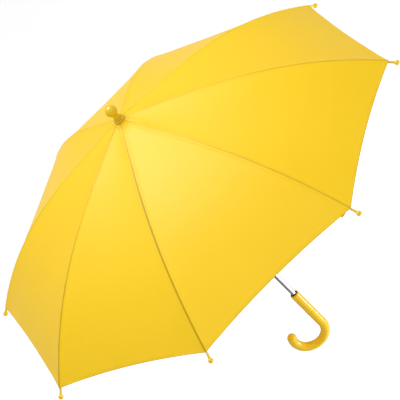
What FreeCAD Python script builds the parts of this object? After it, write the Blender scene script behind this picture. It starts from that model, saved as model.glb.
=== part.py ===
import FreeCAD, Part
import math
import os

# Children's stick umbrella, open, standing upright: +Z runs up the shaft to the ferrule.
# The origin is the middle of the straight grip, on the shaft's centre line. Millimetres.
os.makedirs("parts", exist_ok=True)
V = FreeCAD.Vector

# ---- driving sizes ----
N_RIBS = 8
RIB_FIRST_DEG = 35.0      # azimuth of rib 1, from the crook's plane
TIP_R = 378.0             # shaft axis to the tip balls, umbrella open
APEX_Z = 485.4            # height of the dome's drawn apex over the origin
DOME_1, DOME_2, DOME_4 = 0.1686, 0.1756, 0.1196  # depth = TIP_R * (D1 t + D2 t^2 + D4 t^4)
CROWN_LIFT = 4.5          # the cloth rises a little over the crown
CROWN_LIFT_R = 45.0
BALL_PAST = 1.512         # tip balls' centres, outside TIP_R
RIB_BACK = 14.364         # end of the rib's curve, inside TIP_R; from there it is straight
SOCKET_FROM, SOCKET_TO = 52.92, 18.9  # where the rib drops to its socket's depth, inside TIP_R
RIB_MEETS_R = 46.0        # radius where the rib first lies under the cloth
CLOTH_T = 0.6
CORNER_BACK = 7.938       # cloth's sewn corners, inside TIP_R
HEM_SAG = 4.6             # how far the hem curves in between two corners
SEAM_GAP = 0.05
SHAFT_R = 4.0
SHAFT_WALL = 0.6
SHAFT_BOTTOM_Z = -30.0
SHAFT_TOP_UP = 16.0       # over the apex, inside the ferrule
STOP_R = 0.8              # cross pin over the open runner
STOP_PROUD = 1.5
FIT_GAP = 0.02            # radial gap of pieces that don't move on each other
RUN_GAP = 0.1             # radial gap of the runner on the shaft
PIN_GAP = 0.05            # radial gap of a pin or wire in its eye
SIDE_GAP = 0.15           # gap each side of an eye in its slot
CLOTH_GAP = 0.15          # cloth's under face to the rib, or to the tip's socket
RIB_R = 1.2
SOCKET_WALL = 0.55
PIVOT_R = 10.5            # radius of both wire rings
PIVOT_DOWN = 6.0          # crown ring below the apex
EYE_R = 2.0
WIRE_R = 0.5
JOINT_R = 169.3           # where the rib carries its stretcher
EAR_DROP = 3.6            # rib's centre line to the stretcher's rivet
EAR_T = 1.4
EAR_R = 2.6
EAR_SPREAD = 1.0          # how much wider the ear is where it meets the rib
RIVET_R = 0.8
RIVET_HEAD_R = 1.5
RIVET_HEAD_T = 0.5
STRETCHER_R = 1.0
FORK_T = 0.8
FORK_LEN = 11.0
FORK_W = 3.2
TIP_BALL_R = 3.9
TIP_SOCKET_LEN = 13.0
TIP_NECK_LEN = 3.2
RING_LAND = 2.0           # plastic outside each wire ring
NOTCH_H = 10.0
WASHER_T = 0.6
WASHER_LAND = 0.5         # washer past the notched crown
WASHER_GAP = 0.317        # washer to the cloth over it, at mid-panel
SLEEVE_WALL = 1.6
HEAD_UP, HEAD_DOWN = 2.6, 5.0  # runner head over and under its ring
SLEEVE_UP = 4.0
SLEEVE_DOWN = 45.0
WINDOW_W = 2.4
WINDOW_TOP, WINDOW_BOTTOM = 27.5, 40.0  # below the ring
SPRING_W = 1.4
SLOT_W = 1.8
TOOTH_PROUD = 1.3         # tooth past the sleeve's outside
TOOTH_H = 11.0
LEAF_T = 0.6
LEAF_LEN = 46.0
LEAF_GAP = 0.45           # tube's bore to the leaf
CLOSE_DEG = 61.0          # how far the ribs swing down
COLLAR_R, RING_R = 9.4, 7.6
NECK_WALL = 0.98
BALL_R = 9.2
BALL_UP = 23.3
GRIP_R = 7.7
GRIP_HALF = 40.0
CROOK_R = 28.5
CROOK_DEG = 203.0
BUSH_WALL = 2.18
BUSH_LEN = 9.0
BUSH_SUNK = 1.6
GRIP_FILLET = 2.2
STRAP_BACK = 10.584       # strap's outer end, inside TIP_R
STRAP_L, STRAP_W, STRAP_T = 61.92, 11.0, 0.8   # in plan
STRAP_DEEP = 4.6          # under the cloth
STRAP_ASIDE = 5.0         # from the rib
STUD_R, STUD_T = 4.0, 1.6
STUD_NECK_R, STUD_NECK_T = 2.2, 2.8

# ---- sizes that follow from those ----
CLOTH_HOLE_R = SHAFT_R + 0.7
RIB_DOWN = CLOTH_T + CLOTH_GAP + RIB_R           # cloth's upper face to the rib's centre line
TIP_SOCKET_R = RIB_R + SOCKET_WALL
TIP_DOWN = CLOTH_T + CLOTH_GAP + TIP_SOCKET_R    # the same at the tip, where the socket is thicker
EYE_T = 2 * RIB_R - 0.2                          # the eye's faces are a little flatter than the wire
EYE_SLOT_W = EYE_T + 2 * SIDE_GAP
NOTCH_R = PIVOT_R + RING_LAND
HEAD_R = PIVOT_R + RING_LAND
RUNNER_R = SHAFT_R + RUN_GAP + SLEEVE_WALL       # sleeve, outside
TOOTH_OUT = RUNNER_R + TOOTH_PROUD
NECK_R = SHAFT_R + FIT_GAP + NECK_WALL
BUSH_R = SHAFT_R + FIT_GAP + BUSH_WALL
STEP_DEG = 360.0 / N_RIBS
HALF = math.radians(STEP_DEG / 2)
CORNER_R = TIP_R - CORNER_BACK
TOOTH_TIP = 0.4           # the tooth's bevel


def save(name, shape):
    if shape.ShapeType == "Compound" and len(shape.Solids) == 1:
        shape = shape.Solids[0]
    if len(shape.Solids) != 1 or not shape.isValid():
        raise ValueError(name + " isn't one valid solid")
    shape.exportStep("parts/" + name + ".step")


def turned(shape, deg, about=V(0, 0, 0), axis=V(0, 0, 1)):
    s = shape.copy()
    s.rotate(about, axis, deg)
    return s


def azimuth(i):
    return RIB_FIRST_DEG + STEP_DEG * i


def rod(a, b, r):
    return Part.makeCylinder(r, (b - a).Length, a, b - a)


def revolved(points):
    """A solid turned about Z from (radius, height) points."""
    face = Part.Face(Part.makePolygon([V(r, 0, z) for r, z in points + points[:1]]))
    return face.revolve(V(0, 0, 0), V(0, 0, 1), 360)


def plate_xz(points, width):
    """A flat plate in the XZ plane, centred on Y."""
    face = Part.Face(Part.makePolygon([V(x, -width / 2, z) for x, z in points + points[:1]]))
    return face.extrude(V(0, width, 0))


# ---- the dome's section over a rib ----
def dome(r):
    t = r / TIP_R
    drop = TIP_R * (DOME_1 * t + DOME_2 * t * t + DOME_4 * t ** 4)
    return APEX_Z - drop + CROWN_LIFT * math.exp(-((r / CROWN_LIFT_R) ** 2))


def dome_down(r, d):
    """The point that lies d under the cloth's upper face at radius r, square to it."""
    g = dome(r + 0.5) - dome(r - 0.5)
    n = math.hypot(1, g)
    return V(r + g / n * d, 0, dome(r) - d / n)


def spline(points):
    c = Part.BSplineCurve()
    c.interpolate(points)
    return c.toShape()


def ease(a, b, x):
    u = min(max((x - a) / (b - a), 0.0), 1.0)
    return u * u * (3 - 2 * u)


def rib_down(r):
    return RIB_DOWN + (TIP_DOWN - RIB_DOWN) * ease(TIP_R - SOCKET_FROM, TIP_R - SOCKET_TO, r)


CROWN = V(PIVOT_R, 0, APEX_Z - PIVOT_DOWN)
rib_radii = [RIB_MEETS_R + (TIP_R - RIB_BACK - RIB_MEETS_R) * k / 16 for k in range(17)]
rib_points = [CROWN] + [dome_down(r, rib_down(r)) for r in rib_radii]
rib_curve = Part.BSplineCurve()
rib_curve.interpolate(rib_points)
rib_end = rib_curve.value(rib_curve.LastParameter)
rib_dir = rib_curve.tangent(rib_curve.LastParameter)[0]
tip_centre = rib_end + rib_dir * (dome_down(TIP_R + BALL_PAST, TIP_DOWN) - rib_end).Length

joint_on_rib = dome_down(JOINT_R, rib_down(JOINT_R))
joint_param = rib_curve.parameter(joint_on_rib)
joint_dir = rib_curve.tangent(joint_param)[0]
joint_in = V(joint_dir.z, 0, -joint_dir.x)
JOINT = rib_curve.value(joint_param) + joint_in * EAR_DROP
REACH = (JOINT - CROWN).Length
OPEN_ANGLE = math.atan2(CROWN.z - JOINT.z, JOINT.x - CROWN.x)
CLOSED_ANGLE = OPEN_ANGLE + math.radians(CLOSE_DEG)
RING_Z = CROWN.z - 2 * REACH * math.sin(OPEN_ANGLE)   # runner's ring, open
TRAVEL = 2 * REACH * (math.sin(CLOSED_ANGLE) - math.sin(OPEN_ANGLE))
FOOT = V(PIVOT_R, 0, RING_Z)


# ---- ribs, their tips and rivets ----
def make_rib():
    path = Part.Wire([rib_curve.toShape(), Part.makeLine(rib_end, tip_centre - rib_dir * 1.0)])
    start = rib_curve.tangent(rib_curve.FirstParameter)[0]
    ring = Part.Wire([Part.makeCircle(RIB_R, CROWN, start)])
    s = path.makePipeShell([ring], True, False)
    root = joint_in * (EAR_DROP - RIB_R / 3)
    ear = [
        JOINT - joint_dir * EAR_R,
        JOINT - joint_dir * (EAR_R + EAR_SPREAD) - root,
        JOINT + joint_dir * (EAR_R + EAR_SPREAD) - root,
        JOINT + joint_dir * EAR_R,
    ]
    s = s.fuse(plate_xz([(p.x, p.z) for p in ear], EAR_T))
    s = s.fuse(Part.makeCylinder(EAR_R, EAR_T, JOINT - V(0, EAR_T / 2, 0), V(0, 1, 0)))
    s = s.fuse(Part.makeCylinder(EYE_R, EYE_T, CROWN - V(0, EYE_T / 2, 0), V(0, 1, 0)))
    s = s.cut(Part.makeCylinder(RIVET_R + PIN_GAP, 9, JOINT - V(0, 4.5, 0), V(0, 1, 0)))
    s = s.cut(Part.makeCylinder(WIRE_R + 2 * PIN_GAP, 9, CROWN - V(0, 4.5, 0), V(0, 1, 0)))
    return s.removeSplitter()


def make_tip():
    """Ball, neck and socket about the rib's last straight stretch."""
    s = Part.makeSphere(TIP_BALL_R, V(0, 0, 0))
    s = s.fuse(Part.makeCylinder(TIP_SOCKET_R, TIP_SOCKET_LEN, V(0, 0, -TIP_SOCKET_LEN)))
    s = s.fuse(Part.makeCone(TIP_SOCKET_R, TIP_SOCKET_R + SOCKET_WALL, TIP_NECK_LEN,
                             V(0, 0, -TIP_BALL_R - 0.75 * TIP_NECK_LEN)))
    s = s.cut(Part.makeCylinder(RIB_R + FIT_GAP, TIP_SOCKET_LEN + 1, V(0, 0, -TIP_SOCKET_LEN - 1.9)))
    s = s.removeSplitter()
    s.Placement = FreeCAD.Placement(tip_centre, FreeCAD.Rotation(V(0, 0, 1), rib_dir))
    return s


def make_rivet():
    half = EAR_T / 2 + SIDE_GAP + FORK_T + 0.1
    s = Part.makeCylinder(RIVET_R, 2 * half, JOINT - V(0, half, 0), V(0, 1, 0))
    for side in (-1, 1):
        at = JOINT + V(0, side * (half + RIVET_HEAD_T / 2), 0)
        s = s.fuse(Part.makeCylinder(RIVET_HEAD_R, RIVET_HEAD_T,
                                     at - V(0, RIVET_HEAD_T / 2, 0), V(0, 1, 0)))
    return s.removeSplitter()


def make_stretcher():
    """A wire with an eye on the runner's ring and a fork round the rib's ear."""
    out = (JOINT - FOOT).normalize()
    up = V(-out.z, 0, out.x)
    root = JOINT - out * FORK_LEN
    s = rod(FOOT, root + out * 1.0, STRETCHER_R)
    s = s.fuse(Part.makeCylinder(EYE_R, EYE_T, FOOT - V(0, EYE_T / 2, 0), V(0, 1, 0)))
    gap = EAR_T / 2 + SIDE_GAP
    wide = 2 * (gap + FORK_T)
    bar = [root - up * FORK_W / 2, JOINT - up * FORK_W / 2,
           JOINT + up * FORK_W / 2, root + up * FORK_W / 2]
    fork = plate_xz([(p.x, p.z) for p in bar], wide)
    fork = fork.fuse(Part.makeCylinder(FORK_W / 2 + 0.25, wide, JOINT - V(0, wide / 2, 0), V(0, 1, 0)))
    inside = [root + out * 2.2 - up * 5, JOINT + out * 5 - up * 5,
              JOINT + out * 5 + up * 5, root + out * 2.2 + up * 5]
    fork = fork.cut(plate_xz([(p.x, p.z) for p in inside], 2 * gap))
    s = s.fuse(fork)
    s = s.cut(Part.makeCylinder(RIVET_R + PIN_GAP, 9, JOINT - V(0, 4.5, 0), V(0, 1, 0)))
    s = s.cut(Part.makeCylinder(WIRE_R + 2 * PIN_GAP, 9, FOOT - V(0, 4.5, 0), V(0, 1, 0)))
    return s.removeSplitter()


rib, tip, rivet, stretcher = make_rib(), make_tip(), make_rivet(), make_stretcher()
for i in range(N_RIBS):
    save("rib_%d" % (i + 1), turned(rib, azimuth(i)))
    save("rib_tip_%d" % (i + 1), turned(tip, azimuth(i)))
    save("rib_rivet_%d" % (i + 1), turned(rivet, azimuth(i)))
    save("stretcher_%d" % (i + 1), turned(stretcher, azimuth(i)))


# ---- the eight cloth panels: panel i runs from rib i to rib i + 1 ----
def cloth_section(side):
    radii = [CLOTH_HOLE_R + (CORNER_R - CLOTH_HOLE_R) * (k / 18.0) ** 1.35 for k in range(19)]
    top = [V(r, 0, dome(r)) for r in radii]
    low = [dome_down(r, CLOTH_T) for r in radii]
    low[0] = V(radii[0], 0, dome(radii[0]) - CLOTH_T)
    w = Part.Wire([
        spline(top),
        Part.makeLine(top[-1], low[-1]),
        spline(low[::-1]),
        Part.makeLine(low[0], top[0]),
    ])
    w.translate(V(0, side * SEAM_GAP, 0))
    return w


def make_panel():
    a = cloth_section(1)
    b = turned(cloth_section(-1), STEP_DEG)
    s = Part.makeLoft([a, b], True, True)
    half_chord = CORNER_R * math.sin(HALF)
    bend = (half_chord ** 2 + HEM_SAG ** 2) / (2 * HEM_SAG)
    out = CORNER_R * math.cos(HALF) - HEM_SAG + bend
    cutter = Part.makeCylinder(bend, 400, V(out * math.cos(HALF), out * math.sin(HALF), APEX_Z - 300))
    return s.cut(cutter)


panel = make_panel()
for i in range(N_RIBS):
    save("canopy_panel_%d" % (i + 1), turned(panel, azimuth(i)))

# ---- shaft, crown, ferrule ----
top_catch_z = RING_Z - SLEEVE_DOWN - 0.3        # top of the upper catch's tooth
low_catch_z = RING_Z - TRAVEL - WINDOW_BOTTOM + 0.6   # foot of the lower catch's tooth
shaft_top = APEX_Z + SHAFT_TOP_UP
tube = Part.makeCylinder(SHAFT_R, shaft_top - SHAFT_BOTTOM_Z, V(0, 0, SHAFT_BOTTOM_Z))
tube = tube.cut(Part.makeCylinder(SHAFT_R - SHAFT_WALL, shaft_top - SHAFT_BOTTOM_Z,
                                  V(0, 0, SHAFT_BOTTOM_Z)))
for z0, z1 in ((top_catch_z - TOOTH_H - 1.0, top_catch_z + 1.0),
               (low_catch_z - 1.0, low_catch_z + TOOTH_H + 1.0)):
    tube = tube.cut(Part.makeBox(SHAFT_R + 1, SLOT_W, z1 - z0, V(0, -SLOT_W / 2, z0)))
stop_z = RING_Z + SLEEVE_UP + 1.4
tube = tube.cut(Part.makeCylinder(STOP_R + FIT_GAP, 20, V(0, -10, stop_z), V(0, 1, 0)))
save("shaft_tube", tube)
save("runner_stop", Part.makeCylinder(STOP_R, 2 * (SHAFT_R + STOP_PROUD),
                                      V(0, -SHAFT_R - STOP_PROUD, stop_z), V(0, 1, 0)))
save("shaft_plug", Part.makeCylinder(SHAFT_R - SHAFT_WALL - FIT_GAP, 9.0, V(0, 0, SHAFT_BOTTOM_Z)))


def catch(z_shoulder, way):
    """A bent strip: a leaf inside the tube and a tooth out through the slot."""
    outer = SHAFT_R - SHAFT_WALL - LEAF_GAP
    inner = outer - LEAF_T
    tip_z = z_shoulder - way * 2.2
    foot_z = z_shoulder - way * TOOTH_H
    pts = [
        (inner, z_shoulder + way * 5.0), (outer, z_shoulder + way * 5.0),
        (outer, z_shoulder), (TOOTH_OUT - TOOTH_TIP, z_shoulder),
        (TOOTH_OUT, z_shoulder - way * 0.5), (TOOTH_OUT, tip_z),
        (outer, foot_z), (outer, z_shoulder - way * LEAF_LEN),
        (inner, z_shoulder - way * LEAF_LEN),
    ]
    return plate_xz(pts, SPRING_W)


save("top_spring", catch(top_catch_z, 1))
save("bottom_spring", catch(low_catch_z, -1))

washer_r = NOTCH_R + WASHER_LAND
washer_top = dome(washer_r / math.cos(HALF)) - CLOTH_T - WASHER_GAP
notch_top = washer_top - WASHER_T - 0.1
notch = Part.makeCylinder(NOTCH_R, NOTCH_H, V(0, 0, notch_top - NOTCH_H))
notch = notch.cut(Part.makeCylinder(SHAFT_R + FIT_GAP, NOTCH_H, V(0, 0, notch_top - NOTCH_H)))
notch = notch.cut(Part.makeTorus(PIVOT_R, WIRE_R + FIT_GAP, V(0, 0, CROWN.z)))
slot = Part.makeBox(EYE_R + RING_LAND + 4, EYE_SLOT_W, 20,
                    V(PIVOT_R - EYE_R - 0.3, -EYE_SLOT_W / 2, CROWN.z + EYE_R + 0.4 - 20))
for i in range(N_RIBS):
    notch = notch.cut(turned(slot, azimuth(i)))
save("crown_notch", notch.removeSplitter())
save("crown_wire", Part.makeTorus(PIVOT_R, WIRE_R, V(0, 0, CROWN.z)))
washer_foot = washer_top - WASHER_T
save("crown_washer", revolved([(SHAFT_R + FIT_GAP, washer_foot), (washer_r, washer_foot),
                               (washer_r, washer_top), (SHAFT_R + FIT_GAP, washer_top)]))

under = dome(CLOTH_HOLE_R) + 0.1
edge = dome(COLLAR_R) + 0.1
collar = revolved([
    (SHAFT_R + FIT_GAP, under), (CLOTH_HOLE_R, under), (COLLAR_R - 0.6, edge), (COLLAR_R, edge + 0.7),
    (COLLAR_R, edge + 2.0), (COLLAR_R - 0.7, edge + 2.8), (RING_R - 1.2, edge + 3.2),
    (RING_R - 0.5, edge + 3.6), (RING_R, edge + 4.3), (RING_R, edge + 5.2), (RING_R - 0.6, edge + 6.0),
    (NECK_R, edge + 6.5), (SHAFT_R + FIT_GAP, edge + 6.5),
])
save("ferrule_collar", collar)
neck_z = edge + 6.5
ferrule = Part.makeSphere(BALL_R, V(0, 0, APEX_Z + BALL_UP))
ferrule = ferrule.fuse(Part.makeCylinder(NECK_R, APEX_Z + BALL_UP - 3 - neck_z, V(0, 0, neck_z)))
ferrule = ferrule.cut(Part.makeCylinder(SHAFT_R + FIT_GAP, shaft_top - neck_z + 0.5, V(0, 0, neck_z)))
save("ferrule", ferrule.removeSplitter())

# ---- runner ----
runner = Part.makeCylinder(RUNNER_R, SLEEVE_UP + SLEEVE_DOWN, V(0, 0, RING_Z - SLEEVE_DOWN))
runner = runner.fuse(Part.makeCylinder(HEAD_R, HEAD_UP + HEAD_DOWN, V(0, 0, RING_Z - HEAD_DOWN)))
runner = runner.fuse(Part.makeCone(RUNNER_R, HEAD_R - 2, 6.0, V(0, 0, RING_Z - HEAD_DOWN - 6.0)))
runner = runner.fuse(Part.makeCylinder(RUNNER_R + 1.6, 5.0, V(0, 0, RING_Z - SLEEVE_DOWN)))
runner = runner.cut(Part.makeCylinder(SHAFT_R + RUN_GAP, 80, V(0, 0, RING_Z - 60)))
runner = runner.cut(Part.makeTorus(PIVOT_R, WIRE_R + FIT_GAP, V(0, 0, RING_Z)))
slot = Part.makeBox(EYE_R + RING_LAND + 4, EYE_SLOT_W, 20,
                    V(PIVOT_R - EYE_R - 0.3, -EYE_SLOT_W / 2, RING_Z - EYE_R - 0.4))
for i in range(N_RIBS):
    runner = runner.cut(turned(slot, azimuth(i)))
runner = runner.cut(Part.makeBox(10, WINDOW_W, WINDOW_BOTTOM - WINDOW_TOP,
                                 V(0, -WINDOW_W / 2, RING_Z - WINDOW_BOTTOM)))
save("runner", runner.removeSplitter())
save("runner_wire", Part.makeTorus(PIVOT_R, WIRE_R, V(0, 0, RING_Z)))

# ---- handle ----
grip = Part.makeCylinder(GRIP_R, 2 * GRIP_HALF, V(0, 0, -GRIP_HALF))
grip = grip.makeFillet(GRIP_FILLET, [e for e in grip.Edges if abs(e.BoundBox.ZMin - GRIP_HALF) < 1e-3
                             and e.BoundBox.ZLength < 1e-3])
disc = Part.Face(Part.Wire([Part.makeCircle(GRIP_R, V(0, 0, -GRIP_HALF))]))
bend = disc.revolve(V(CROOK_R, 0, -GRIP_HALF), V(0, -1, 0), CROOK_DEG)
a = math.radians(CROOK_DEG)
crook_end = V(CROOK_R * (1 - math.cos(a)), 0, -GRIP_HALF - CROOK_R * math.sin(a))
handle = grip.fuse(bend).fuse(Part.makeSphere(GRIP_R, crook_end)).removeSplitter()
handle = handle.cut(Part.makeCylinder(SHAFT_R + FIT_GAP, 100, V(0, 0, SHAFT_BOTTOM_Z - 0.5)))
bush_top = GRIP_HALF - BUSH_SUNK
handle = handle.cut(Part.makeCylinder(BUSH_R + FIT_GAP, 30, V(0, 0, bush_top - BUSH_LEN)))
save("handle_crook", handle)
bush = Part.makeCylinder(BUSH_R, BUSH_LEN, V(0, 0, bush_top - BUSH_LEN))
save("handle_bush", bush.cut(Part.makeCylinder(SHAFT_R + FIT_GAP, 30, V(0, 0, bush_top - BUSH_LEN))))

# ---- closure strap, under the hem beside rib 3 ----
radii = [TIP_R - STRAP_BACK - STRAP_L * k / 6.0 for k in range(7)]
over = [dome_down(r, CLOTH_T + STRAP_DEEP) for r in radii]
below = [dome_down(r, CLOTH_T + STRAP_DEEP + STRAP_T) for r in radii]
w = Part.Wire([spline(over), Part.makeLine(over[-1], below[-1]),
               spline(below[::-1]), Part.makeLine(below[0], over[0])])
strap = Part.Face(w).extrude(V(0, -STRAP_W, 0))
strap.translate(V(0, -STRAP_ASIDE, 0))
save("closure_strap", turned(strap, azimuth(2)))
inward = (below[5] - over[5]).normalize()
knob = below[5] + inward * PIN_GAP
stud = Part.makeCylinder(STUD_R, STUD_T, knob, inward)
stud = stud.fuse(Part.makeCylinder(STUD_NECK_R, STUD_NECK_T, knob, inward))
stud.translate(V(0, -STRAP_ASIDE - STRAP_W / 2, 0))
save("strap_stud", turned(stud, azimuth(2)))
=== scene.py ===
import math

import bpy
import numpy as np
from mathutils import Matrix, Vector


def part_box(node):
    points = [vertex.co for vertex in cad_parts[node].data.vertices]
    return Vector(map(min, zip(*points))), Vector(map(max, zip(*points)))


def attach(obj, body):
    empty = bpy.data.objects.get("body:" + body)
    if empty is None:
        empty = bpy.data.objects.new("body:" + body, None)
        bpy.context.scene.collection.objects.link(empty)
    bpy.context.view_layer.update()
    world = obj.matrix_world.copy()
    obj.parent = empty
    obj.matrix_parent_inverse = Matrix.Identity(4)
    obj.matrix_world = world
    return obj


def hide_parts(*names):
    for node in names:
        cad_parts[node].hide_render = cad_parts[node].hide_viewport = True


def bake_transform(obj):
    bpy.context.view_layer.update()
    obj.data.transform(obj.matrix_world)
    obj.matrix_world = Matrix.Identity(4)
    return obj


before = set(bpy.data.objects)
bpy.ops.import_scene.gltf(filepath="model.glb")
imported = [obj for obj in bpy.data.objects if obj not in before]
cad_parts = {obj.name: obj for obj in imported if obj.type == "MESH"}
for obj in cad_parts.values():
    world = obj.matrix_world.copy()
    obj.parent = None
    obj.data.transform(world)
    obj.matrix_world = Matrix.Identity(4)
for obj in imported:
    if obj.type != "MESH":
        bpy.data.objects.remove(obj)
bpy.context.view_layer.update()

scene = bpy.context.scene
scene.view_settings.view_transform = "Standard"
scene.view_settings.look = "None"

# ------------------------------------------------------------------ sizes, in metres, as in the CAD
RIBS = 8
FIRST = math.radians(35.0)        # azimuth of rib 1
STEP = 2 * math.pi / RIBS
HALF = STEP / 2
TIP_R = 0.378
APEX_Z = 0.4854
SHAFT_R = 0.0040
CLOTH_T = 0.0006
HOLE_R = 0.0047
CORNER_R = 0.979 * TIP_R
HEM_SAG = 0.0046
HEM_W = 0.0062                    # the cloth turned in at the hem
HEM_SLOPE = 1.33                  # length along the cloth over length in plan, at the hem
RIB_R = 0.0012
RIB_DOWN = CLOTH_T + 0.00015 + RIB_R     # cloth's upper face to the rib's centre line, with its gap
GRIP_R = 0.0077
GRIP_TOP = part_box("handle_crook")[1][2]
CROOK_R = 0.0285
CROOK_ARC = math.radians(203.0)
BUSH_HOLE_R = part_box("handle_bush")[1][0] + 0.00002
BUSH_FOOT_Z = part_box("handle_bush")[0][2]
BALL_R = 0.0092
BALL_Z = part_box("ferrule")[1][2] - BALL_R
COLLAR_R, _, COLLAR_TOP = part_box("ferrule_collar")[1]
STRAP_RIB = 2                     # counted from 0
STRAP_OUT = 0.972 * TIP_R
STRAP_LEN = 0.062                 # in plan
STRAP_W, STRAP_T = 0.011, 0.0008
STRAP_DOWN = CLOTH_T + 0.0046
STRAP_ASIDE = 0.005


def dome(r):
    t = r / TIP_R
    drop = TIP_R * (0.1686 * t + 0.1756 * t * t + 0.1196 * t ** 4)
    return APEX_Z - drop + 0.0045 * np.exp(-((r / 0.045) ** 2))


def dome_slope(r):
    return (dome(r + 1e-5) - dome(r - 1e-5)) / 2e-5


def dome_down(r, depth):
    """(radius, height) of the point that lies depth under the cloth, square to it."""
    g = dome_slope(r)
    n = math.hypot(1, g)
    return r + g / n * depth, dome(r) - depth / n


def azimuth(i):
    return FIRST + STEP * i


def smooth(a, b, x):
    u = np.clip((np.asarray(x, float) - a) / (b - a), 0, 1)
    return u * u * (3 - 2 * u)


def rot_z(p, angle):
    c, s = math.cos(angle), math.sin(angle)
    return np.asarray(p) @ np.array([[c, s, 0], [-s, c, 0], [0, 0, 1.0]])


# ------------------------------------------------------------------ mesh helpers
def new_mesh(name, verts, faces, uvs=None):
    """A mesh object; uvs maps a layer's name to one (u, v) for each vertex."""
    me = bpy.data.meshes.new(name)
    me.from_pydata([tuple(map(float, v)) for v in verts], [], [tuple(map(int, f)) for f in faces])
    me.update()
    loops = np.zeros(len(me.loops), np.int32)
    me.loops.foreach_get("vertex_index", loops)
    for layer_name, values in (uvs or {}).items():
        layer = me.uv_layers.new(name=layer_name)
        layer.data.foreach_set("uv", np.asarray(values, np.float32)[loops].ravel())
    ob = bpy.data.objects.new(name, me)
    scene.collection.objects.link(ob)
    return ob


def sharpen(ob, degrees=35):
    """Smooth shading that keeps the real edges crisp."""
    ob.data.polygons.foreach_set("use_smooth", [True] * len(ob.data.polygons))
    ob.data.set_sharp_from_angle(angle=math.radians(degrees))


def shell(name, top, low, uvs=None):
    """A closed thin sheet between two grids of points."""
    rows, cols = top.shape[:2]
    a = np.arange(rows * cols).reshape(rows, cols)
    b = a + rows * cols
    faces = []
    for k in range(rows - 1):
        for j in range(cols - 1):
            faces.append((a[k, j], a[k + 1, j], a[k + 1, j + 1], a[k, j + 1]))
            faces.append((b[k, j], b[k, j + 1], b[k + 1, j + 1], b[k + 1, j]))
    edge = [(k, 0) for k in range(rows)] + [(rows - 1, j) for j in range(1, cols)]
    edge += [(k, cols - 1) for k in range(rows - 2, -1, -1)] + [(0, j) for j in range(cols - 2, 0, -1)]
    for (k0, j0), (k1, j1) in zip(edge, edge[1:] + edge[:1]):
        faces.append((a[k0, j0], b[k0, j0], b[k1, j1], a[k1, j1]))
    verts = np.concatenate([top.reshape(-1, 3), low.reshape(-1, 3)])
    both = {k: np.concatenate([v.reshape(-1, 2)] * 2) for k, v in (uvs or {}).items()}
    ob = new_mesh(name, verts, faces, both)
    sharpen(ob, 50)
    return ob


def skin(name, rings, closed=False):
    """A closed skin over rings of points; a ring of one point is a pole.

    A closed skin runs on from its last ring to its first; an open one is capped.
    """
    verts, index, faces = [], [], []
    for ring in rings:
        index.append(list(range(len(verts), len(verts) + len(ring))))
        verts.extend(ring)
    following = index[1:] + index[:1] if closed else index[1:]
    for p, n in zip(index, following):
        count = max(len(p), len(n))
        for s in range(count):
            t = (s + 1) % count
            if len(p) == 1:
                faces.append((p[0], n[t], n[s]))
            elif len(n) == 1:
                faces.append((p[s], p[t], n[0]))
            else:
                faces.append((p[s], p[t], n[t], n[s]))
    if not closed and len(index[0]) > 1:
        faces.append(index[0][::-1])
    if not closed and len(index[-1]) > 1:
        faces.append(index[-1])
    ob = new_mesh(name, verts, faces)
    sharpen(ob)
    return ob


def circle(centre, u, v, radius, steps):
    out = []
    for s in range(steps):
        a = 2 * math.pi * s / steps
        out.append(centre + u * (radius * math.cos(a)) + v * (radius * math.sin(a)))
    return out


def turned(name, profile, closed=True, steps=96):
    """A piece turned about the shaft's axis, from (radius, height) points."""
    x, y = Vector((1, 0, 0)), Vector((0, 1, 0))
    rings = []
    for r, z in profile:
        at = Vector((0, 0, z))
        rings.append([at] if r < 1e-7 else circle(at, x, y, r, steps))
    return skin(name, rings, closed)


def arc(cr, cz, radius, start, end, count):
    """(radius, height) points on an arc; angles in degrees from the horizontal."""
    out = []
    for k in range(count + 1):
        a = math.radians(start + (end - start) * k / count)
        out.append((cr + radius * math.cos(a), cz + radius * math.sin(a)))
    return out


def join(name, parts):
    """One object from several, with their points in the same order."""
    verts, faces = [], []
    for ob in parts:
        base = len(verts)
        verts.extend(v.co.copy() for v in ob.data.vertices)
        faces.extend(tuple(base + i for i in p.vertices) for p in ob.data.polygons)
        bpy.data.objects.remove(ob)
    out = new_mesh(name, verts, faces)
    sharpen(out)
    return out


# ------------------------------------------------------------------ materials
def material(name):
    m = bpy.data.materials.new(name)
    m.use_nodes = True
    return m, m.node_tree, m.node_tree.nodes["Principled BSDF"]


def node(nt, kind, **inputs):
    n = nt.nodes.new(kind)
    for k, v in inputs.items():
        n.inputs[k.replace("_", " ")].default_value = v
    return n


def ramp(nt, source, stops):
    r = nt.nodes.new("ShaderNodeValToRGB")
    e = r.color_ramp.elements
    e[0].position, e[0].color = stops[0][0], (*stops[0][1], 1)
    e[1].position, e[1].color = stops[-1][0], (*stops[-1][1], 1)
    for pos, col in stops[1:-1]:
        e.new(pos).color = (*col, 1)
    nt.links.new(source, r.inputs["Fac"])
    return r.outputs["Color"]


def math_node(nt, op, a, b=None):
    n = nt.nodes.new("ShaderNodeMath")
    n.operation = op
    for i, v in enumerate((a, b)):
        if v is None:
            continue
        if isinstance(v, (int, float)):
            n.inputs[i].default_value = v
        else:
            nt.links.new(v, n.inputs[i])
    return n.outputs[0]


def fade(nt, value, near, far):
    """1 up to near, falling to 0 at far."""
    n = nt.nodes.new("ShaderNodeMapRange")
    n.interpolation_type = "SMOOTHSTEP"
    n.inputs["From Min"].default_value = near
    n.inputs["From Max"].default_value = far
    n.inputs["To Min"].default_value = 1.0
    n.inputs["To Max"].default_value = 0.0
    nt.links.new(value, n.inputs["Value"])
    return n.outputs["Result"]


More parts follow.
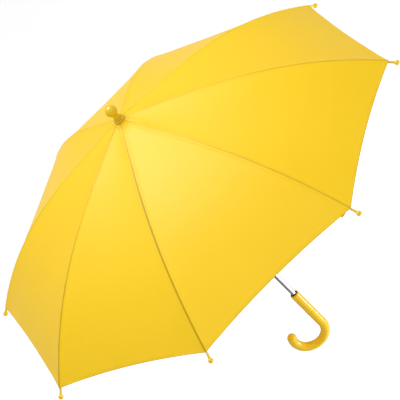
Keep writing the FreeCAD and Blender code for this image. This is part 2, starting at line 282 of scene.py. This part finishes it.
def uv_parts(nt, layer):
    uv = nt.nodes.new("ShaderNodeUVMap")
    uv.uv_map = layer
    sep = nt.nodes.new("ShaderNodeSeparateXYZ")
    nt.links.new(uv.outputs["UV"], sep.inputs["Vector"])
    return sep.outputs["X"], sep.outputs["Y"]


def cloth_material(name, light, dark, painted_shade_colour=None, thread=0.0005):
    """Plain-woven cloth; its optional third colour is painted shade, laid along the seams and at the hem's
    edge.
    """
    m, nt, bsdf = material(name)
    pos = nt.nodes.new("ShaderNodeTexCoord").outputs["Object"]
    cloud = node(nt, "ShaderNodeTexNoise", Scale=9.0, Detail=4.0, Roughness=0.55)
    slub = node(nt, "ShaderNodeTexNoise", Scale=700.0, Detail=2.0)
    for n in (cloud, slub):
        nt.links.new(pos, n.inputs["Vector"])
    colour = ramp(nt, cloud.outputs["Fac"], [(0.30, dark), (0.72, light)])
    if painted_shade_colour:
        across, along = uv_parts(nt, "cloth")
    else:
        sep = nt.nodes.new("ShaderNodeSeparateXYZ")
        nt.links.new(pos, sep.inputs["Vector"])
        across, along = sep.outputs["X"], sep.outputs["Y"]
    k = 2 * math.pi / thread
    warp = math_node(nt, "SINE", math_node(nt, "MULTIPLY", across, k))
    weft = math_node(nt, "SINE", math_node(nt, "MULTIPLY", along, k))
    height = math_node(nt, "ADD", math_node(nt, "MULTIPLY", math_node(nt, "MULTIPLY", warp, weft), 0.5),
                       math_node(nt, "MULTIPLY", slub.outputs["Fac"], 0.7))
    bump = node(nt, "ShaderNodeBump", Strength=0.22, Distance=0.00015)
    nt.links.new(height, bump.inputs["Height"])
    nt.links.new(bump.outputs["Normal"], bsdf.inputs["Normal"])
    if painted_shade_colour:
        # painted shade: a dark band beside each seam and a thin dark line along the hem's edge
        to_hem, seam_shade_strength = uv_parts(nt, "edges")
        aside = math_node(nt, "ABSOLUTE", math_node(nt, "ADD", across, -0.0003))
        shade = math_node(nt, "MAXIMUM",
                          math_node(nt, "MULTIPLY", fade(nt, aside, 0.0006, 0.0024), seam_shade_strength),
                          math_node(nt, "MULTIPLY", fade(nt, to_hem, 0.0004, 0.0014), 0.70))
        mix = nt.nodes.new("ShaderNodeMix")
        mix.data_type = "RGBA"
        mix.inputs["B"].default_value = (*painted_shade_colour, 1)
        nt.links.new(shade, mix.inputs["Factor"])
        nt.links.new(colour, mix.inputs["A"])
        colour = mix.outputs["Result"]
    nt.links.new(colour, bsdf.inputs["Base Color"])
    nt.links.new(ramp(nt, cloud.outputs["Fac"], [(0.3, (0.40,) * 3), (0.7, (0.47,) * 3)]),
                 bsdf.inputs["Roughness"])
    bsdf.inputs["Sheen Weight"].default_value = 0.004
    bsdf.inputs["Sheen Roughness"].default_value = 0.35
    bsdf.inputs["Sheen Tint"].default_value = (1.0, 0.90, 0.50, 1)
    bsdf.inputs["Specular IOR Level"].default_value = 0.15
    return m


def plastic_material(name, light, dark, rough=0.24, coat=0.25, specular=0.3):
    """Moulded plastic with a fine skin and faint clouding."""
    m, nt, bsdf = material(name)
    pos = nt.nodes.new("ShaderNodeTexCoord").outputs["Object"]
    cloud = node(nt, "ShaderNodeTexNoise", Scale=38.0, Detail=3.0)
    skin_noise = node(nt, "ShaderNodeTexNoise", Scale=420.0, Detail=2.0)
    for n in (cloud, skin_noise):
        nt.links.new(pos, n.inputs["Vector"])
    nt.links.new(ramp(nt, cloud.outputs["Fac"], [(0.3, dark), (0.7, light)]), bsdf.inputs["Base Color"])
    nt.links.new(ramp(nt, cloud.outputs["Fac"], [(0.3, (rough,) * 3), (0.75, (rough + 0.08,) * 3)]),
                 bsdf.inputs["Roughness"])
    bump = node(nt, "ShaderNodeBump", Strength=0.05, Distance=0.00003)
    nt.links.new(skin_noise.outputs["Fac"], bump.inputs["Height"])
    nt.links.new(bump.outputs["Normal"], bsdf.inputs["Normal"])
    bsdf.inputs["Coat Weight"].default_value = coat
    bsdf.inputs["Coat Roughness"].default_value = 0.12
    bsdf.inputs["Specular IOR Level"].default_value = specular
    return m


def metal_material(name, light, dark, rough, stretch=(6.0, 6.0, 400.0)):
    """Drawn or plated steel, with faint marks stretched along or round it."""
    m, nt, bsdf = material(name)
    mapping = node(nt, "ShaderNodeMapping", Scale=stretch)
    nt.links.new(nt.nodes.new("ShaderNodeTexCoord").outputs["Object"], mapping.inputs["Vector"])
    cloud = node(nt, "ShaderNodeTexNoise", Scale=12.0, Detail=3.0)
    nt.links.new(mapping.outputs["Vector"], cloud.inputs["Vector"])
    nt.links.new(ramp(nt, cloud.outputs["Fac"], [(0.3, dark), (0.7, light)]), bsdf.inputs["Base Color"])
    nt.links.new(ramp(nt, cloud.outputs["Fac"], [(0.3, (rough,) * 3), (0.75, (rough + 0.08,) * 3)]),
                 bsdf.inputs["Roughness"])
    bump = node(nt, "ShaderNodeBump", Strength=0.06, Distance=0.00002)
    nt.links.new(cloud.outputs["Fac"], bump.inputs["Height"])
    nt.links.new(bump.outputs["Normal"], bsdf.inputs["Normal"])
    bsdf.inputs["Metallic"].default_value = 1.0
    return m


# the cloth's third colour is painted shade for its seams and its hem's edge
CLOTH = cloth_material("cloth_yellow", (0.935, 0.605, 0.018), (0.915, 0.588, 0.016), (0.50, 0.310, 0.003))
TRIM = cloth_material("cloth_trim", (0.80, 0.505, 0.015), (0.76, 0.480, 0.013))
THREAD = plastic_material("sewing_thread", (0.90, 0.58, 0.02), (0.84, 0.54, 0.015), rough=0.55, coat=0.0)
YELLOW = plastic_material("yellow_plastic", (0.81, 0.530, 0.005), (0.78, 0.505, 0.004), rough=0.20, coat=0.35)
CHROME = metal_material("bright_shaft", (0.76, 0.77, 0.81), (0.70, 0.71, 0.75), 0.12)
STEEL = metal_material("rib_steel", (0.60, 0.61, 0.63), (0.50, 0.51, 0.53), 0.28, (60.0, 60.0, 60.0))
BLACK = plastic_material("black_plastic", (0.020, 0.020, 0.021), (0.010, 0.010, 0.011), rough=0.42, coat=0.05)

CAD_LOOK = {
    "shaft_tube": CHROME, "shaft_plug": BLACK, "runner_stop": STEEL, "crown_notch": BLACK,
    "crown_wire": STEEL, "ferrule": YELLOW, "ferrule_collar": YELLOW, "handle_crook": YELLOW,
    "handle_bush": BLACK, "runner": BLACK, "runner_wire": STEEL, "top_spring": STEEL,
    "bottom_spring": STEEL, "strap_stud": YELLOW, "closure_strap": TRIM, "crown_washer": TRIM,
}


def look_of(name):
    if name in CAD_LOOK:
        return CAD_LOOK[name]
    if name.startswith("rib_tip"):
        return YELLOW
    return CLOTH if name.startswith("canopy") else STEEL


for name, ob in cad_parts.items():
    look = look_of(name)
    if not ob.data.materials:
        ob.data.materials.append(look)
    for s in ob.material_slots:
        s.material = look

# ------------------------------------------------------------------ canopy cloth
ROWS = 60                         # crown to hem, before the rows of the hem itself
HEM_STOPS = [0.0120, 0.0095, 0.0078, 0.0068, 0.0062, 0.0050, 0.0030, 0.0015, 0.0006, 0.0]
SEAM_STOPS = [0.0, 0.0004, 0.0009, 0.0015, 0.0024, 0.0034, 0.0042, 0.0050, 0.0066, 0.0095, 0.0150, 0.0220]
EVEN_COLUMNS = 13
SEAM_SHADE = [0.95, 1.00, 0.50, 0.50, 0.42, 0.45, 0.50, 0.60]     # how dark the painted shade along each rib's seam is; ribs turned from the light get more
SEAM_FROM = [0.12, 0.01, 0.10, 0.10, 0.10, 0.10, 0.10, 0.10]      # the radius where that painted shade starts to grow to its full strength
STITCH, STITCH_GAP, THREAD_R = 0.0023, 0.0009, 0.00020
HEM_ROW_IN = 0.0045               # the sewn row, inside the hem's edge
HEM_ROW_FROM = 0.003              # its first stitch, from the seam


def wobble(x, seed):
    """A smooth repeatable ripple made of a few sines."""
    out = 0.0
    for n in range(4):
        f = 1.0 + 0.61 * n + 0.13 * ((seed * (n + 3)) % 7)
        out = out + math.cos(seed * 1.7 + n) * np.sin(x * f + seed * 2.3 + n * 1.9)
    return out / 2.2


def hem_radius(w):
    """Radius of the hem, measured along the rib's plane, at share w of the half panel."""
    return CORNER_R - (HEM_SAG + 0.0003) / math.cos(HALF) * (1 - (1 - w) ** 2)


def cloth(i, side, w, r):
    """The cloth's upper face beside rib i: points, normals, distance to the seam and to the hem.

    w is the share of the way from the seam to the panel's middle, r the radius in the rib's plane.
    """
    seam = w * r * math.sin(HALF)
    to_hem = (hem_radius(w) - r) * HEM_SLOPE
    slope = dome_slope(r)
    turn = smooth(0, 0.0012, seam)
    normal = np.stack([-slope * math.cos(HALF), -slope * side * math.sin(HALF) * turn,
                       math.cos(HALF) + 0 * slope], axis=-1)
    normal /= np.linalg.norm(normal, axis=-1, keepdims=True)
    point = np.stack([r - seam * math.sin(HALF), side * seam * math.cos(HALF), dome(r)], axis=-1)
    seed = 2 * i + (side > 0)
    down = np.clip((r - HOLE_R) / (CORNER_R - HOLE_R), 0, 1)
    dip = -0.0022 * np.sin(math.pi * down ** 0.8) * (1 - (1 - w) ** 2)
    lap = 0.00040 * (1 - smooth(0.0040, 0.0050, seam)) * smooth(0.02, 0.05, r)
    groove = -0.0007 * (1 - smooth(0.0003, 0.0015, seam)) * smooth(0.015, 0.04, r)
    pucker = 0.00028 * wobble(r / 0.0032, seed) * np.exp(-seam / 0.011) * smooth(0.02, 0.08, r)
    gather = 0.00035 * np.cos(w * 10.0 + seed * 1.3) * np.exp(-((r - 0.022) / 0.016) ** 2)
    pull = -0.0010 * np.exp(-((w - 0.16) / 0.09) ** 2) * (1 - smooth(0.0, 0.12, to_hem))
    pull = pull - 0.0008 * np.exp(-((w - 0.30) / 0.08) ** 2) * (1 - smooth(0.0, 0.18, to_hem))
    turned_in = 0.00018 * (1 - smooth(HEM_W - 0.0004, HEM_W + 0.0006, to_hem))
    ripple = 0.00012 * wobble(seam / 0.004 + 3.0, seed + 5) * np.exp(-to_hem / 0.012)
    extra = lap + groove + pucker + gather + pull + turned_in + ripple
    extra = extra * (0.35 + 0.65 * smooth(0.0, 0.004, to_hem)) * (1 - smooth(0.93, 1.0, w))
    return point, normal, dip + extra, seam, to_hem


def grid(i, side):
    """Shares w and radii r of the half panel's grid, from the seam to the middle."""
    inner = np.linspace(0, 1, ROWS + 1)[:-1]
    plain = HOLE_R + (CORNER_R - HOLE_R) * inner
    width = np.concatenate([plain, [CORNER_R] * len(HEM_STOPS)]) * math.sin(HALF)
    near = np.array(SEAM_STOPS)[None, :] * np.minimum(1, width / (2.2 * SEAM_STOPS[-1]))[:, None]
    last = near[:, -1:]
    even = last + (width[:, None] - last) * np.arange(1, EVEN_COLUMNS + 1)[None, :] / EVEN_COLUMNS
    w = np.concatenate([near, even], axis=1) / width[:, None]
    hem = hem_radius(w)
    stops = np.array(HEM_STOPS)[:, None] / HEM_SLOPE
    edge = hem[ROWS:] - stops
    body = HOLE_R + (hem[:ROWS] - HEM_STOPS[0] / HEM_SLOPE - HOLE_R) * inner[:, None]
    return w, np.concatenate([body, edge], axis=0)


def mirrored(left, right):
    """One grid from two halves that share the seam's column."""
    return np.concatenate([left[:, :0:-1], right], axis=1)


def make_sector(i):
    """The cloth over rib i, from the middle of one panel to the middle of the next."""
    halves = []
    for side in (-1, 1):
        w, r = grid(i, side)
        point, normal, lift, seam, to_hem = cloth(i, side, w, r)
        # painted shade strength along the seam, growing towards the hem, carried to the cloth in the edges
        # layer
        shade = SEAM_SHADE[i] * (0.45 + 0.55 * smooth(SEAM_FROM[i], SEAM_FROM[i] + 0.16, r))
        halves.append((point, normal, lift, w * side, np.stack([seam * side, r * 1.12], axis=-1),
                       np.stack([to_hem, shade], axis=-1)))
    point, normal, lift, w, weave, edges = (mirrored(a, b) for a, b in zip(*halves))
    top = point + normal * lift[..., None]
    low = point + normal * (np.minimum(lift, 0) - CLOTH_T)[..., None]
    ob = shell("canopy_cloth_%d" % (i + 1), rot_z(top, azimuth(i)), rot_z(low, azimuth(i)),
               {"cloth": weave, "edges": edges})
    ob.data.materials.append(CLOTH)
    return ob, np.concatenate([w.ravel(), w.ravel()]), point


def folded(ob):
    """Bakes the piece's placement into its mesh."""
    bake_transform(ob)
    ob.data.update()


def stitch_rings(points, up, across):
    """A short thread that comes up through the cloth and goes down again."""
    rings = []
    for p, raised in zip(points, (-0.5, 0.9, 0.9, -0.5)):
        centre = p + up * (THREAD_R * raised)
        rings.append(circle(centre, across, up, THREAD_R, 6))
    return rings


def stitches(name, runs):
    """All the stitches of one row; runs holds each one's four points, normal and cross direction."""
    verts, faces = [], []
    for points, up, across in runs:
        rings = stitch_rings(points, up, across)
        base = len(verts)
        count = len(rings[0])
        for ring in rings:
            verts.extend(ring)
        for k in range(len(rings) - 1):
            for s in range(count):
                t = (s + 1) % count
                faces.append((base + k * count + s, base + k * count + t,
                              base + (k + 1) * count + t, base + (k + 1) * count + s))
        faces.append([base + s for s in range(count)][::-1])
        faces.append([base + (len(rings) - 1) * count + s for s in range(count)])
    ob = new_mesh(name, verts, faces)
    sharpen(ob, 60)
    ob.data.materials.append(THREAD)
    return ob


def hem_stitches(i):
    """The sewn row that holds the turned-in hem, a little inside its edge."""
    runs, weights = [], []
    half_width = CORNER_R * math.sin(HALF)
    pitch = STITCH + STITCH_GAP
    for side in (-1, 1):
        for n in range(int((half_width - HEM_ROW_FROM - 0.001) / pitch)):
            start = HEM_ROW_FROM + n * pitch
            w = (start + STITCH * np.array([0, 0.25, 0.75, 1.0])) / half_width
            r = hem_radius(w) - HEM_ROW_IN / HEM_SLOPE
            point, normal, lift, _, _ = cloth(i, side, w, r)
            at = rot_z(point + normal * lift[..., None], azimuth(i))
            up = Vector(rot_z(normal, azimuth(i))[1])
            points = [Vector(p) for p in at]
            across = up.cross(points[-1] - points[0]).normalized()
            runs.append((points, up, across))
            weights.extend(np.repeat(w * side, 6))
    ob = stitches("hem_stitches_%d" % (i + 1), runs)
    return ob, weights


for i in range(RIBS):
    ob, weights, point = make_sector(i)
    folded(ob)
    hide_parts("canopy_panel_%d" % (i + 1))
    sewn, sewn_weights = hem_stitches(i)
    folded(sewn)

# ------------------------------------------------------------------ cloth cap under the crown of the canopy
CAP_R = 0.0170
CAP_DOWN, CAP_T = 0.0009, 0.0005  # under the cloth's upper face, and its thickness
cap_radii = np.linspace(SHAFT_R + 0.0002, CAP_R, 9)
cap_top = [(r, dome(r) - CAP_DOWN) for r in cap_radii]
cap_low = [(r, dome(r) - CAP_DOWN - CAP_T) for r in cap_radii[::-1]]
cap = turned("crown_cap", cap_top + cap_low, steps=64)
cap.data.materials.append(TRIM)
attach(cap, "frame")
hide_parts("crown_washer")


# ------------------------------------------------------------------ closure strap under the hem
def strap_point(u, v, depth):
    """A point of the strap: u runs from the hem inwards, v from edge to edge (-1 to 1)."""
    r, z = dome_down(STRAP_OUT - STRAP_LEN * u, depth)
    round_end = math.sqrt(max(1 - max((u - 0.93) / 0.07, 0) ** 2, 0.0))
    y = -STRAP_ASIDE - STRAP_W / 2 + v * STRAP_W / 2 * (0.25 + 0.75 * round_end)
    return Vector((r, y, z))


def make_strap():
    along = np.linspace(0, 1, 41)
    across = np.linspace(-1, 1, 13)
    top, low = [], []
    for u in along:
        thin = [0.00022 * (1 - smooth(0.0, 0.25, 1 - abs(v))) for v in across]
        top.append([strap_point(u, v, STRAP_DOWN + t) for v, t in zip(across, thin)])
        low.append([strap_point(u, v, STRAP_DOWN + STRAP_T - t) for v, t in zip(across, thin)])
    at = azimuth(STRAP_RIB)
    ob = shell("strap_sewn", rot_z(np.array(top), at), rot_z(np.array(low), at))
    ob.data.materials.append(TRIM)
    return ob, np.array(low)


def strap_stitches():
    runs = []
    at = azimuth(STRAP_RIB)
    pitch = (STITCH + STITCH_GAP) / STRAP_LEN * 0.85
    for v in (-0.76, 0.76):
        for n in range(int(0.92 / pitch)):
            us = 0.01 + n * pitch + STITCH / STRAP_LEN * 0.85 * np.array([0, 0.25, 0.75, 1.0])
            points = [Vector(rot_z(strap_point(u, v, STRAP_DOWN + STRAP_T), at)) for u in us]
            way = points[-1] - points[0]
            across = Vector(rot_z((0, 1, 0), at))
            up = way.cross(across).normalized()
            runs.append((points, up if up.z < 0 else -up, across))
    return stitches("strap_stitches", runs)


strap, strap_face = make_strap()
strap_body = "rib_%d" % (STRAP_RIB + 1)
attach(strap, strap_body)
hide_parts("closure_strap")
strap_sewn = strap_stitches()
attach(strap_sewn, strap_body)

# ------------------------------------------------------------------ threads that tie the cloth to the ribs
TIE_RADII = [0.118, 0.212, 0.290]
TIE_WIRE_R = 0.00022
TIE_PITCH = 0.00042


def tie_threads(i):
    """Three loops of thread round the rib at each place where the cloth is tied down."""
    parts = []
    for r0 in TIE_RADII:
        for turn in (-1, 0, 1):
            r, z = dome_down(r0 + turn * TIE_PITCH, RIB_DOWN)
            g = dome_slope(r0)
            way = Vector((1, 0, g)).normalized()
            out = Vector((-way.z, 0, way.x))
            side = Vector((0, 1, 0))
            rings = []
            for s in range(20):
                a = 2 * math.pi * s / 20
                radial = out * math.cos(a) + side * math.sin(a)
                centre = Vector((r, 0, z)) + radial * (RIB_R + TIE_WIRE_R * 0.7)
                rings.append(circle(centre, radial, way, TIE_WIRE_R, 6))
            parts.append(skin("loop", rings, closed=True))
    ob = join("tie_threads_%d" % (i + 1), parts)
    ob.data.transform(Matrix.Rotation(azimuth(i), 4, "Z"))
    ob.data.materials.append(THREAD)
    return ob


for i in range(RIBS):
    ties = tie_threads(i)
    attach(ties, "rib_%d" % (i + 1))


# ------------------------------------------------------------------ moulded handle
def make_handle():
    """The crook: a round bar down the grip and round the bend, with a socket for the bush."""
    lip = 0.0022
    inner = BUSH_HOLE_R - (GRIP_R - lip)
    lip_from = math.degrees(math.acos(inner / lip)) if inner > 0 else 90.0
    x, y, z = Vector((1, 0, 0)), Vector((0, 1, 0)), Vector((0, 0, 1))
    profile = [(BUSH_HOLE_R * 0.5, BUSH_FOOT_Z), (BUSH_HOLE_R, BUSH_FOOT_Z), (BUSH_HOLE_R, GRIP_TOP - 0.0006)]
    profile += arc(GRIP_R - lip, GRIP_TOP - lip, lip, lip_from, 0, 8)
    rings = [[z * BUSH_FOOT_Z]] + [circle(z * h, x, y, r, 64) for r, h in profile]
    straight = 2 * GRIP_TOP
    for k in range(1, 17):
        rings.append(circle(z * (GRIP_TOP - lip - (straight - lip) * k / 16), x, y, GRIP_R, 64))
    centre = Vector((CROOK_R, 0, GRIP_TOP - straight))
    steps = 72
    for k in range(1, steps + 1):
        a = CROOK_ARC * k / steps
        spoke = -x * math.cos(a) - z * math.sin(a)
        rings.append(circle(centre + spoke * CROOK_R, -spoke, y, GRIP_R, 64))
    way = x * math.sin(CROOK_ARC) - z * math.cos(CROOK_ARC)
    spoke = -x * math.cos(CROOK_ARC) - z * math.sin(CROOK_ARC)
    end = centre + spoke * CROOK_R
    for k in range(1, 16):
        a = math.pi / 2 * k / 16
        rings.append(circle(end + way * (GRIP_R * math.sin(a)), -spoke, y, GRIP_R * math.cos(a), 64))
    rings.append([end + way * GRIP_R])
    return skin("handle_moulded", rings)


handle = make_handle()

# ------------------------------------------------------------------ ferrule and its collar
NECK_R = 0.0050
NECK_FOOT = COLLAR_TOP
SHOULDER = math.sqrt(BALL_R ** 2 - NECK_R ** 2)
ball = arc(0, BALL_Z, BALL_R, -math.degrees(math.atan2(SHOULDER, NECK_R)) + 4, 90, 40)
ferrule = turned("ferrule_moulded", [
    (0.0, NECK_FOOT), (NECK_R + 0.0005, NECK_FOOT), (NECK_R + 0.0005, NECK_FOOT + 0.0006),
    (NECK_R + 0.0001, NECK_FOOT + 0.0014), (NECK_R, NECK_FOOT + 0.0030),
    (NECK_R, BALL_Z - SHOULDER - 0.0012), (NECK_R + 0.0002, BALL_Z - SHOULDER - 0.0002),
] + ball[:-1] + [(0.0, BALL_Z + BALL_R)], closed=False)

foot = COLLAR_TOP - 0.0065
collar = turned("collar_moulded", [
    (SHAFT_R + 0.00005, COLLAR_TOP - 0.0001), (SHAFT_R + 0.00005, foot + 0.0010), (COLLAR_R - 0.0012, foot),
] + arc(COLLAR_R - 0.0009, foot + 0.0010, 0.0009, -70, 0, 5)
  + arc(COLLAR_R - 0.0009, foot + 0.0019, 0.0009, 0, 80, 6)
  + [(0.0072, foot + 0.0031), (0.0067, foot + 0.0034), (0.0068, foot + 0.0037)]
  + arc(0.0067, foot + 0.0047, 0.0009, -50, 70, 8)
  + [(0.0060, foot + 0.0060), (NECK_R + 0.0004, COLLAR_TOP - 0.0001)])

for piece, cad in ((handle, "handle_crook"), (ferrule, "ferrule"), (collar, "ferrule_collar")):
    piece.data.materials.append(YELLOW)
    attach(piece, "frame")
    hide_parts(cad)

# ------------------------------------------------------------------ camera
AIM = Vector((0, 0, 0.290))
AZ, EL, ROLL, FAR = 102.86, 31.58, 45.04, 3.0133
a, e = math.radians(AZ), math.radians(EL)
back = Vector((math.cos(e) * math.cos(a), math.cos(e) * math.sin(a), math.sin(e)))
level = (Vector((0, 0, 1)) - back * back.z).normalized()
level_right = level.cross(back).normalized()
roll = math.radians(ROLL)
up = level * math.cos(roll) + level_right * math.sin(roll)
right = up.cross(back).normalized()
place = AIM + back * FAR
cam_data = bpy.data.cameras.new("camera")
cam_data.lens = 176.0
cam_data.sensor_width = 36.0
cam = bpy.data.objects.new("camera", cam_data)
scene.collection.objects.link(cam)
cam.matrix_world = Matrix((
    (right.x, up.x, back.x, place.x),
    (right.y, up.y, back.y, place.y),
    (right.z, up.z, back.z, place.z),
    (0, 0, 0, 1)))
scene.camera = cam


# ------------------------------------------------------------------ lights, floor and cards
def from_axis(deg, elevation, distance, height=0.40):
    """A place given by azimuth and elevation from a point on the shaft's axis."""
    a, e = math.radians(deg), math.radians(elevation)
    way = Vector((math.cos(e) * math.cos(a), math.cos(e) * math.sin(a), math.sin(e)))
    return way * distance + Vector((0, 0, height))


def area_light(name, at, size, power, towards=(0, 0, 0.40), gloss_only=False):
    """A square softbox that faces a point; one for gloss only is seen just in reflections."""
    d = bpy.data.lights.new(name, "AREA")
    d.shape, d.size, d.energy = "SQUARE", size, power
    o = bpy.data.objects.new(name, d)
    scene.collection.objects.link(o)
    o.location = at
    o.rotation_euler = (Vector(towards) - at).to_track_quat("-Z", "Y").to_euler()
    o.visible_camera = False
    o.visible_diffuse = not gloss_only


area_light("overhead", from_axis(AZ + 180, 74, 2.0), 1.3, 29)
area_light("front", from_axis(AZ + 10, 35, 2.6), 1.4, 18)
area_light("low_side", from_axis(AZ + 64, -31, 1.5, 0.1), 0.5, 13, towards=(0, 0, 0.05))
area_light("gloss", from_axis(AZ + 180, 64, 2.0), 0.9, 38, gloss_only=True)

world = bpy.data.worlds.new("studio")
scene.world = world
world.use_nodes = True
wnt = world.node_tree
sky = wnt.nodes.new("ShaderNodeSeparateXYZ")
wnt.links.new(wnt.nodes.new("ShaderNodeTexCoord").outputs["Generated"], sky.inputs["Vector"])
background = wnt.nodes["Background"]
wnt.links.new(ramp(wnt, sky.outputs["Z"], [(0.0, (0.42,) * 3), (0.35, (0.76,) * 3), (1.0, (1.0,) * 3)]),
              background.inputs["Color"])
background.inputs["Strength"].default_value = 0.55

FLOOR_Z, FLOOR_HALF = -1.3, 30.0
CARD_UP = 0.02                    # the cards lie just over the floor


def staged_plane(name, centre, half_x, half_y, spin, look):
    """A flat card of the set, turned by spin degrees about the vertical; not part of the object."""
    u = Vector((math.cos(math.radians(spin)), math.sin(math.radians(spin)), 0))
    v = Vector((-u.y, u.x, 0))
    signs = ((-1, -1), (1, -1), (1, 1), (-1, 1))
    corners = [centre + u * (half_x * x) + v * (half_y * y) for x, y in signs]
    ob = new_mesh(name, corners, [(0, 1, 2, 3)])
    ob.data.materials.append(look)
    return ob


def stage_material(name, tone, glow):
    m, nt, bsdf = material(name)
    noise = node(nt, "ShaderNodeTexNoise", Scale=3.0, Detail=3.0)
    nt.links.new(nt.nodes.new("ShaderNodeTexCoord").outputs["Object"], noise.inputs["Vector"])
    nt.links.new(ramp(nt, noise.outputs["Fac"], [(0.2, (tone,) * 3), (0.8, (tone * 1.02,) * 3)]),
                 bsdf.inputs["Base Color"])
    bsdf.inputs["Roughness"].default_value = 0.8
    bsdf.inputs["Emission Color"].default_value = (glow, glow, glow, 1)
    bsdf.inputs["Emission Strength"].default_value = 1.0
    return m


staged_plane("floor", Vector((0, 0, FLOOR_Z)), FLOOR_HALF, FLOOR_HALF, 0,
             stage_material("floor_pale", 0.93, 0.50))

# grey cards, seen only in reflections, give the steel its dark side and its dark far edge:
# name, azimuth, distance, half sizes outwards and sideways, glow
CARDS = [
    ("left_card", AZ - 90, 3.4, 2.9, 5.0, 0.13),
    ("back_card", AZ + 150, 2.7, 1.9, 1.9, 0.10),
]
for card_name, toward, far, half_out, half_side, glow in CARDS:
    place = from_axis(toward, 0, far, FLOOR_Z + CARD_UP)
    look = stage_material(card_name + "_grey", 0.12, glow)
    card = staged_plane(card_name, place, half_out, half_side, toward, look)
    card.visible_camera = False
    card.visible_diffuse = False
    card.visible_shadow = False
